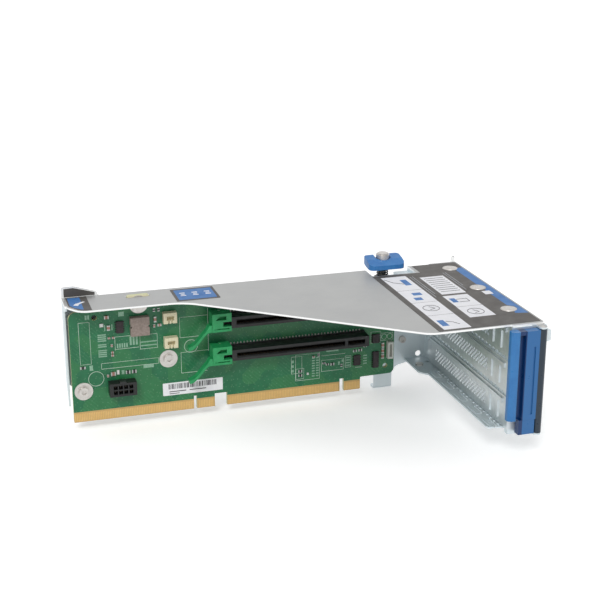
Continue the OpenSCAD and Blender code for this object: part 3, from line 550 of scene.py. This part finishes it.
lines, lines_in, lines_out = geometry_tree(
    "ink_lines", [("Width", FLOAT, 0.0002), ("Finish", "NodeSocketMaterial", None)]
)
line_curve = add_node(lines, "GeometryNodeMeshToCurve", {}, {"Mesh": lines_in.outputs["Geometry"]})
half_width = add_node(
    lines, "ShaderNodeMath", {"operation": "MULTIPLY", 1: 0.5},
    {0: lines_in.outputs["Width"]}
)
line_profile = add_node(
    lines, "GeometryNodeCurvePrimitiveCircle", {"Resolution": 6},
    {"Radius": half_width.outputs[0]}
)
line_body = add_node(
    lines, "GeometryNodeCurveToMesh", {"Fill Caps": True},
    {"Curve": line_curve.outputs[0], "Profile Curve": line_profile.outputs[0]},
)
line_real = add_node(lines, "GeometryNodeRealizeInstances", {}, {"Geometry": line_body.outputs[0]})
line_finish = add_node(
    lines, "GeometryNodeSetMaterial", {},
    {"Geometry": line_real.outputs[0], "Material": lines_in.outputs["Finish"]},
)
lines.links.new(line_finish.outputs[0], lines_out.inputs[0])


def box_path(x0, z0, x1, z1):
    """Closed rectangle."""
    return [(x0, z0), (x1, z0), (x1, z1), (x0, z1), (x0, z0)]


def ring_path(x, z, radius, steps=28):
    """Closed circle."""
    return [
        (x + radius * math.cos(i * math.tau / steps), z + radius * math.sin(i * math.tau / steps))
        for i in range(steps + 1)
    ]


def paths_mesh(name, paths, place):
    """Edges along paths given as pairs in mm; place turns a pair into a point in mm."""
    mesh = bpy.data.meshes.new(name)
    spots, edges = [], []
    for path in paths:
        start = len(spots)
        spots += [tuple(c * MM for c in place(*pair)) for pair in path]
        edges += [(start + i, start + i + 1) for i in range(len(path) - 1)]
    mesh.from_pydata(spots, edges, [])
    return mesh


ink_paths = [
    [(5.4, 60.3), (5.4, 35.0), (11.6, 35.0), (11.6, 60.3), (5.4, 60.3)],
    ring_path(13.9, 25.7, 4.4),
    box_path(17.3, 31.2, 50.4, 34.6),
    [(25.6, 41.8), (25.6, 49.9), (38.8, 49.9)],
    [(25.6, 42.4), (39.4, 42.4)],
    box_path(40.0, 41.0, 50.0, 49.6),
    [(63.3, 45.4), (63.3, 57.8), (80.0, 57.8)],
    [(63.3, 45.4), (76.0, 45.4)],
    [(80.0, 35.6), (80.0, 62.0)],
    ring_path(69.6, 39.6, 3.9),
    [(63.6, 23.4), (63.6, 36.2), (80.0, 36.2)],
    [(63.6, 23.4), (79.0, 23.4)],
    box_path(130.6, 14.8, 137.2, 25.6),
    box_path(133.2, 10.0, 148.4, 26.6),
    box_path(133.4, 11.0, 138.4, 17.6),
    box_path(149.6, 14.2, 163.6, 21.4),
    [(149.6, 24.4), (164.6, 24.4)],
    box_path(164.8, 15.2, 168.4, 22.6),
    [(171.4, 14.4), (175.6, 14.4)],
    box_path(181.2, 29.0, 187.2, 36.2),
    ring_path(189.8, 32.4, 1.7),
    ring_path(193.4, 32.4, 1.7),
    box_path(187.6, 30.0, 195.4, 34.8),
]
ink_lines = grown(
    "ink_lines", lines, paths_mesh("ink_paths", ink_paths, lambda x, z: (x, -0.04, z)),
    {"Width": 0.3 * MM, "Finish": ink},
)
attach(ink_lines, "cage")

# ---- Small parts on the board --------------------------------------------------------
# Reflow-soldered ceramic capacitors, resistors and bare tinned pads, each a body between
# two tinned ends, a millimetre or two long.
tin = finish("solder_tin", (196, 200, 196), (160, 166, 162), (0.8, 0.15, 1.0), (0.25, 0.45), 0.6)
pad_tin = finish("tinned_pad", (150, 186, 162), (122, 164, 138), (0.8, 0.15, 1.0), (0.4, 0.6), 0.2)
ceramic = finish("ceramic_tan", (176, 132, 118), (146, 104, 92), (0.8, 0.15, 1.0), (0.4, 0.6))
part_black = finish("part_black", (40, 38, 38), (26, 24, 24), (0.8, 0.15, 1.0), (0.4, 0.6))
part_white = finish("part_white", (232, 234, 230), (212, 214, 208), (0.8, 0.15, 1.0), (0.5, 0.6))

parts, parts_in, parts_out = geometry_tree(
    "two_ended_parts",
    [
        ("End Share", FLOAT, 0.22), ("Body", "NodeSocketMaterial", None),
        ("Ends", "NodeSocketMaterial", None)
    ],
)
body_cube = add_node(parts, "GeometryNodeMeshCube", {"Size": (0.96, 0.94, 0.94)})
body_set = add_node(
    parts, "GeometryNodeSetMaterial", {},
    {"Geometry": body_cube.outputs["Mesh"], "Material": parts_in.outputs["Body"]}
)
end_size = add_node(
    parts, "ShaderNodeCombineXYZ", {1: 1.0, 2: 1.0}, {0: parts_in.outputs["End Share"]}
)
end_cube = add_node(parts, "GeometryNodeMeshCube", {}, {"Size": end_size.outputs[0]})
end_half = add_node(
    parts, "ShaderNodeMath", {"operation": "MULTIPLY_ADD", 1: -0.5, 2: 0.5},
    {0: parts_in.outputs["End Share"]}
)
part_join = add_node(parts, "GeometryNodeJoinGeometry")
parts.links.new(body_set.outputs[0], part_join.inputs[0])
for side in (-1.0, 1.0):
    end_offset = add_node(
        parts, "ShaderNodeMath", {"operation": "MULTIPLY", 1: side},
        {0: end_half.outputs[0]}
    )
    end_at = add_node(parts, "ShaderNodeCombineXYZ", {}, {0: end_offset.outputs[0]})
    end_moved = add_node(
        parts, "GeometryNodeTransform", {},
        {"Geometry": end_cube.outputs["Mesh"], "Translation": end_at.outputs[0]}
    )
    end_set = add_node(
        parts, "GeometryNodeSetMaterial", {},
        {"Geometry": end_moved.outputs[0], "Material": parts_in.outputs["Ends"]}
    )
    parts.links.new(end_set.outputs[0], part_join.inputs[0])
part_size = add_node(
    parts, "GeometryNodeInputNamedAttribute", {"data_type": "FLOAT_VECTOR", "Name": "size"}
)
part_turn = add_node(
    parts, "GeometryNodeInputNamedAttribute", {"data_type": "FLOAT", "Name": "turn"}
)
part_angle = add_node(
    parts, "ShaderNodeMath", {"operation": "MULTIPLY", 1: math.pi / 2},
    {0: part_turn.outputs[0]}
)
part_rotation = add_node(parts, "ShaderNodeCombineXYZ", {}, {1: part_angle.outputs[0]})
part_copies = add_node(
    parts, "GeometryNodeInstanceOnPoints", {},
    {
        "Points": parts_in.outputs["Geometry"], "Instance": part_join.outputs[0],
        "Rotation": part_rotation.outputs[0], "Scale": part_size.outputs[0],
    },
)
part_real = add_node(
    parts, "GeometryNodeRealizeInstances", {}, {"Geometry": part_copies.outputs[0]}
)
parts.links.new(part_real.outputs[0], parts_out.inputs[0])


def place_parts(name, rows, proud, body_finish, end_finish, share):
    """Parts given as (x, z, length, width, turn) in mm, turn 1 for lengthways along Z."""
    places = [(x, -proud / 2, z) for x, z, length, width, turn in rows]
    sizes = [(length, proud, width) for x, z, length, width, turn in rows]
    piece = grown(
        name, parts, points_mesh(name + "_points", places, sizes, [row[4] for row in rows]),
        {"End Share": share, "Body": body_finish, "Ends": end_finish},
    )
    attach(piece, "cage")


place_parts(
    "tan_capacitors",
    [
        (21.3, 62.4, 2.6, 1.9, 0), (22.2, 56.0, 3.0, 1.8, 1), (49.0, 58.4, 3.4, 1.5, 1),
        (51.4, 54.8, 2.2, 1.5, 0), (48.4, 54.6, 1.8, 1.2, 1), (23.7, 27.8, 2.8, 2.2, 0),
        (20.6, 27.0, 1.6, 1.2, 1), (23.6, 45.2, 1.6, 1.2, 1), (23.8, 41.0, 1.5, 1.1, 0),
        (23.8, 39.2, 1.5, 1.1, 0), (22.2, 49.8, 1.5, 1.0, 0), (24.6, 49.8, 1.5, 1.0, 0),
        (188.8, 27.2, 3.0, 1.6, 1), (188.8, 23.6, 3.0, 1.6, 1), (188.8, 20.0, 3.0, 1.6, 1),
        (144.4, 24.6, 1.6, 1.0, 0),
    ],
    1.1, ceramic, tin, 0.24,
)
place_parts(
    "black_resistors",
    [
        (48.6, 64.0, 1.9, 1.3, 1), (51.2, 64.0, 1.9, 1.3, 1), (32.2, 27.9, 2.6, 2.0, 0),
        (35.8, 27.9, 2.6, 2.0, 0), (6.6, 33.3, 3.2, 1.5, 0), (147.6, 25.4, 1.8, 1.2, 1),
        (151.0, 19.6, 1.8, 1.2, 0), (153.2, 18.6, 1.8, 1.2, 0), (156.4, 18.4, 2.4, 1.6, 0),
        (170.8, 25.4, 2.2, 1.6, 0), (174.2, 25.6, 2.2, 1.6, 0), (162.2, 17.0, 1.8, 1.2, 1),
        (136.0, 13.4, 2.4, 1.5, 0), (136.0, 16.2, 2.4, 1.5, 0), (177.4, 27.8, 2.0, 1.2, 0),
    ],
    0.7, part_black, tin, 0.26,
)
place_parts(
    "white_parts",
    [(26.5, 28.5, 1.6, 2.6, 0), (18.3, 57.9, 2.2, 2.0, 0), (140.7, 14.0, 1.3, 1.3, 0)],
    0.9, part_white, tin, 0.2,
)
pad_rows = []
for low, count in ((47.7, 4), (44.2, 2), (38.3, 4)):
    for k in range(count):
        pad_rows.append((18.3, low + 0.6 + k * 1.2, 4.8, 0.75, 0))
for k in range(3):
    pad_rows.append((34.6 + k * 1.75, 46.8, 5.4, 1.15, 1))
for k in range(5):
    pad_rows.append((27.0 + k * 1.35, 44.4, 2.6, 0.85, 1))
for low in (43.0, 45.2):
    pad_rows.append((45.0, low, 9.4, 0.7, 0))
for k in range(8):
    pad_rows.append((144.4, 12.0 + k * 1.65, 1.7, 0.8, 0))
    pad_rows.append((147.0, 12.0 + k * 1.65, 1.7, 0.8, 0))
for k in range(4):
    pad_rows.append((166.6, 16.4 + k * 1.7, 2.6, 0.8, 0))
    pad_rows.append((177.6, 16.4 + k * 1.7, 2.4, 0.8, 0))
for k in range(3):
    pad_rows.append((131.4, 16.6 + k * 3.0, 1.4, 1.8, 0))
pad_rows += [
    (9.8, 63.2, 2.6, 1.1, 1), (11.2, 63.2, 2.6, 1.1, 1), (29.8, 63.4, 3.2, 2.8, 0),
    (44.4, 30.2, 6.0, 2.2, 0), (11.4, 32.6, 3.2, 2.0, 1), (156.5, 27.2, 7.6, 1.4, 0),
    (20.2, 56.0, 3.6, 0.6, 1), (24.3, 56.0, 3.6, 0.6, 1), (29.4, 28.0, 2.4, 1.6, 1),
    (160.8, 18.4, 2.2, 1.2, 1), (163.0, 19.8, 1.6, 1.0, 1), (35.2, 57.0, 3.4, 0.7, 1),
]
place_parts("tinned_pads", pad_rows, 0.12, pad_tin, pad_tin, 0.2)

# ---- Connectors and headers ----------------------------------------------------------
# Glass-filled nylon mouldings: black card connectors and power header, green retention
# levers, cream fan sockets, a white edge socket, and epoxy chip packages.
black_moulding = finish("black_moulding", (24, 26, 26), (14, 16, 16), (3.0, 0.3, 4.0), (0.35, 0.55))
green_moulding = finish(
    "green_moulding", (36, 160, 94), (26, 136, 78), (4.0, 0.4, 2.0), (0.3, 0.45)
)
cream_moulding = finish(
    "cream_moulding", (232, 224, 192), (214, 204, 170), (2.0, 0.3, 1.0), (0.4, 0.6)
)
white_moulding = finish(
    "white_moulding", (222, 224, 218), (204, 206, 198), (2.0, 0.3, 1.0), (0.4, 0.6)
)
ferrite = finish("pressed_ferrite", (156, 142, 134), (130, 117, 109), (1.2, 0.2, 1.0), (0.6, 0.8))
chip_moulding = finish("chip_moulding", (46, 38, 40), (30, 24, 26), (1.5, 0.2, 1.0), (0.5, 0.7))
dress(black_moulding, "slot_connector_lower", "slot_connector_upper", "power_header")
dress(green_moulding, "retention_lever_lower", "retention_lever_upper")
dress(cream_moulding, "fan_socket_lower", "fan_socket_upper")
dress(white_moulding, "edge_socket")
dress(ferrite, "power_inductor")
dress(chip_moulding, "regulator_chip", "bridge_chip", "logic_chip", "clock_chip")

# ---- Half-turn latch and card retainer -----------------------------------------------
# Blue glass-filled nylon: a thumb knob that turns a steel pin on its spring, and a long
# retainer that swings on a pin in front of the card brackets.
blue_moulding = finish(
    "blue_moulding", (50, 122, 186), (38, 106, 172), (6.0, 0.5, 2.0), (0.28, 0.42)
)
spring_dark = finish("spring_steel", (70, 72, 74), (44, 46, 48), (1.0, 0.2, 1.0), (0.3, 0.5), 0.8)
dress(blue_moulding, "latch_knob")
dress(spring_dark, "latch_spring", "latch_washer")

# The retainer's blue carries painted shade: a deep navy painted shade in the groove along its
# middle, a darker painted shade on its second lobe and a dark painted shade on a strip along its
# outer side
GROOVE_X = (0.2232, 0.2270)
SECOND_LOBE_X = 0.2270
STRIP_X = 0.2346
LOBE_SHADE_PAINT = srgb(40, 102, 160)
GROOVE_SHADE_PAINT = srgb(4, 48, 98)
STRIP_SHADE_PAINT = srgb(30, 46, 60)
retainer_blue = finish(
    "retainer_blue", (50, 122, 184), (42, 110, 172), (6.0, 0.5, 2.0), (0.26, 0.4)
)
retainer_tree = retainer_blue.node_tree
retainer_shader = retainer_tree.nodes["Principled BSDF"]
retainer_colour = retainer_shader.inputs["Base Color"].links[0].from_socket
retainer_place = add_node(retainer_tree, "ShaderNodeTexCoord")
retainer_axes = add_node(
    retainer_tree, "ShaderNodeSeparateXYZ", {}, {0: retainer_place.outputs["Object"]}
)
across = retainer_axes.outputs["X"]
# Painted shade: the second lobe is painted a darker blue
shaded_lobe_mask = compared(retainer_tree, across, "GREATER_THAN", SECOND_LOBE_X)
retainer_colour = mixed(retainer_tree, shaded_lobe_mask, retainer_colour, LOBE_SHADE_PAINT)
# Painted shade: the groove is painted deep navy
groove_shade_mask = times(
    retainer_tree,
    compared(retainer_tree, across, "GREATER_THAN", GROOVE_X[0]),
    compared(retainer_tree, across, "LESS_THAN", GROOVE_X[1]),
)
retainer_colour = mixed(retainer_tree, groove_shade_mask, retainer_colour, GROOVE_SHADE_PAINT)
# Painted shade: the outer strip of the retainer is painted a dark blue-grey
strip_shade_mask = compared(retainer_tree, across, "GREATER_THAN", STRIP_X)
retainer_colour = mixed(retainer_tree, strip_shade_mask, retainer_colour, STRIP_SHADE_PAINT)
retainer_tree.links.new(retainer_colour, retainer_shader.inputs["Base Color"])
dress(retainer_blue, "card_retainer")

# ---- Labels --------------------------------------------------------------------------
# Printed polyester film on the panel: dark fields with white picture panels, blue fields
# and plain grey bars where the wording of a real one stands.
INK_T = 0.04
LABEL_TOP = 73.05
label_film = finish("label_film", (80, 77, 74), (72, 69, 66), (8.0, 0.6, 2.0), (0.45, 0.6))
label_paper = finish("label_paper", (244, 244, 246), (234, 234, 238), (6.0, 0.5, 2.0), (0.6, 0.75))
ink_white = finish("ink_white", (240, 240, 244), (230, 231, 236), (6.0, 0.5, 2.0), (0.5, 0.65))
ink_blue = finish("ink_blue", (66, 122, 184), (56, 108, 170), (6.0, 0.5, 2.0), (0.45, 0.6))
ink_grey = finish("ink_grey", (168, 170, 174), (152, 154, 158), (6.0, 0.5, 2.0), (0.5, 0.65))
ink_dark = finish("ink_dark", (52, 52, 60), (40, 40, 46), (6.0, 0.5, 2.0), (0.5, 0.65))
dress(label_film, "instruction_label", "slot_label", "end_label", "lug_label")
dress(label_paper, "barcode_label")


def print_fields(name, shapes, place, thickness, finish_of):
    """Flat printed shapes given as corner lists in mm; place gives a corner's point."""
    mesh = bpy.data.meshes.new(name)
    piece = bpy.data.objects.new(name, mesh)
    scene.collection.objects.link(piece)
    work = bmesh.new()
    for shape in shapes:
        low = [work.verts.new([c * MM for c in place(a, b, 0.0)]) for a, b in shape]
        high = [work.verts.new([c * MM for c in place(a, b, thickness)]) for a, b in shape]
        work.faces.new(low)
        work.faces.new(high)
        for i in range(len(shape)):
            j = (i + 1) % len(shape)
            work.faces.new((low[i], low[j], high[j], high[i]))
    bmesh.ops.recalc_face_normals(work, faces=work.faces)
    work.to_mesh(mesh)
    work.free()
    mesh.materials.append(finish_of)
    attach(piece, "cage")
    return piece


def on_panel(x, y, rise):
    return (x, y, LABEL_TOP + rise)


def field(x0, y0, x1, y1):
    return [(x0, y0), (x1, y0), (x1, y1), (x0, y1)]


panel_splits = (-103.2, -80.4, -80.0, -58.2, -57.8, -35.8, -35.4, -9.2)
white_shapes = [field(183.2, panel_splits[i], 198.8, panel_splits[i + 1]) for i in (0, 2, 4, 6)]
white_shapes += [
    field(205.6, -48.4, 220.6, -14.8), field(204.6, -70.8, 219.8, -51.2),
    field(204.4, -89.0, 219.8, -71.2)
]
white_shapes += [field(229.6, -55.2, 234.6, -49.2)]
for left in (63.2, 70.4, 77.6):
    for k in range(3):
        white_shapes.append(
            field(left + (k % 2) * 0.5, -7.2 + k * 2.3, left + 3.2 - (k % 2) * 0.4, -6.0 + k * 2.3)
        )
white_shapes.append(
    [(2.6, -6.0), (5.2, -7.4), (6.2, -4.6), (9.8, -1.4), (8.8, -0.4), (5.0, -3.0), (4.2, -3.2)]
)
print_fields("label_white_fields", white_shapes, on_panel, INK_T, ink_white)

blue_shapes = [
    [(234.4, -3.0), (238.3, -3.0), (238.3, -91.0), (231.2, -89.4), (231.6, -87.2), (235.6, -83.0),
     (235.6, -79.0), (232.6, -76.0), (232.6, -47.6), (235.4, -44.0), (235.4, -39.6), (232.6, -36.4),
     (232.6, -8.0)],
    field(60.9, -14.2, 82.7, 4.0),
    [(0.8, 7.4), (0.8, -6.0), (2.6, -10.2), (5.6, -13.6), (7.4, -14.4), (7.8, 7.4)],
]
print_fields("label_blue_fields", blue_shapes, on_panel, INK_T * 0.6, ink_blue)

drawing_shapes = [
    field(192.4, -26.6, 196.2, -16.0), field(189.6, -45.4, 195.0, -41.0), field(
        187.6, -53.8, 192.2, -49.4
    ),
    field(184.8, -97.8, 188.6, -88.6), field(206.2, -63.4, 209.4, -56.4),
]
print_fields(
    "label_drawing_fields", drawing_shapes, lambda x, y, r: (x, y, LABEL_TOP + INK_T + r),
    INK_T, ink_blue
)

drawing_paths = [
    ring_path(190.4, -68.6, 4.6), ring_path(211.8, -80.4, 4.6),
    [(183.8, -13.0), (187.0, -20.0), (192.4, -24.0)],
    [(189.2, -91.0), (192.6, -93.0), (194.8, -97.0)],
    [(209.8, -58.6), (216.0, -58.6), (216.0, -63.4), (209.8, -63.4)],
    [(190.0, -66.0), (192.4, -69.4), (189.0, -71.0)],
    [(211.0, -78.0), (213.4, -81.4), (210.4, -83.0)],
]
drawing_paths += [
    [(207.0, y), (219.0, y)] for y in (-18.4, -22.0, -25.6, -29.2, -32.8, -36.4, -40.0, -43.6)
]
drawings = grown(
    "label_drawings", lines,
    paths_mesh("drawing_paths", drawing_paths, lambda x, y: (x, y, LABEL_TOP + INK_T)),
    {"Width": 0.35 * MM, "Finish": ink_dark},
)
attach(drawings, "cage")

# Plain grey bars beside the panels
wording = [
    [(200.6, -52.0), (200.6, -12.0)], [(202.2, -46.0), (202.2, -12.0)],
    [(222.6, -44.0), (222.6, -10.0)], [(224.2, -36.0), (224.2, -10.0)],
]
wording_bars = grown(
    "label_bars", lines,
    paths_mesh("bar_paths", wording, lambda x, y: (x, y, LABEL_TOP + 0.02)),
    {"Width": 0.5 * MM, "Finish": ink_grey},
)
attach(wording_bars, "cage")

# Row of plain bars on the board's paper label
random.seed(7)
bars = []
at = 55.6
while at < 84.0:
    width = random.choice((0.25, 0.4, 0.6))
    bars.append(field(at, 14.0, at + width, 17.2))
    at += width + random.choice((0.25, 0.4, 0.6))
bars += [
    field(56.0, 12.2, 66.0, 12.7), field(68.0, 12.2, 78.0, 12.7),
    field(56.0, 11.0, 62.0, 11.4)
]
print_fields("paper_bars", bars, lambda x, z, r: (x, -0.15 - r, z), INK_T, ink_dark)
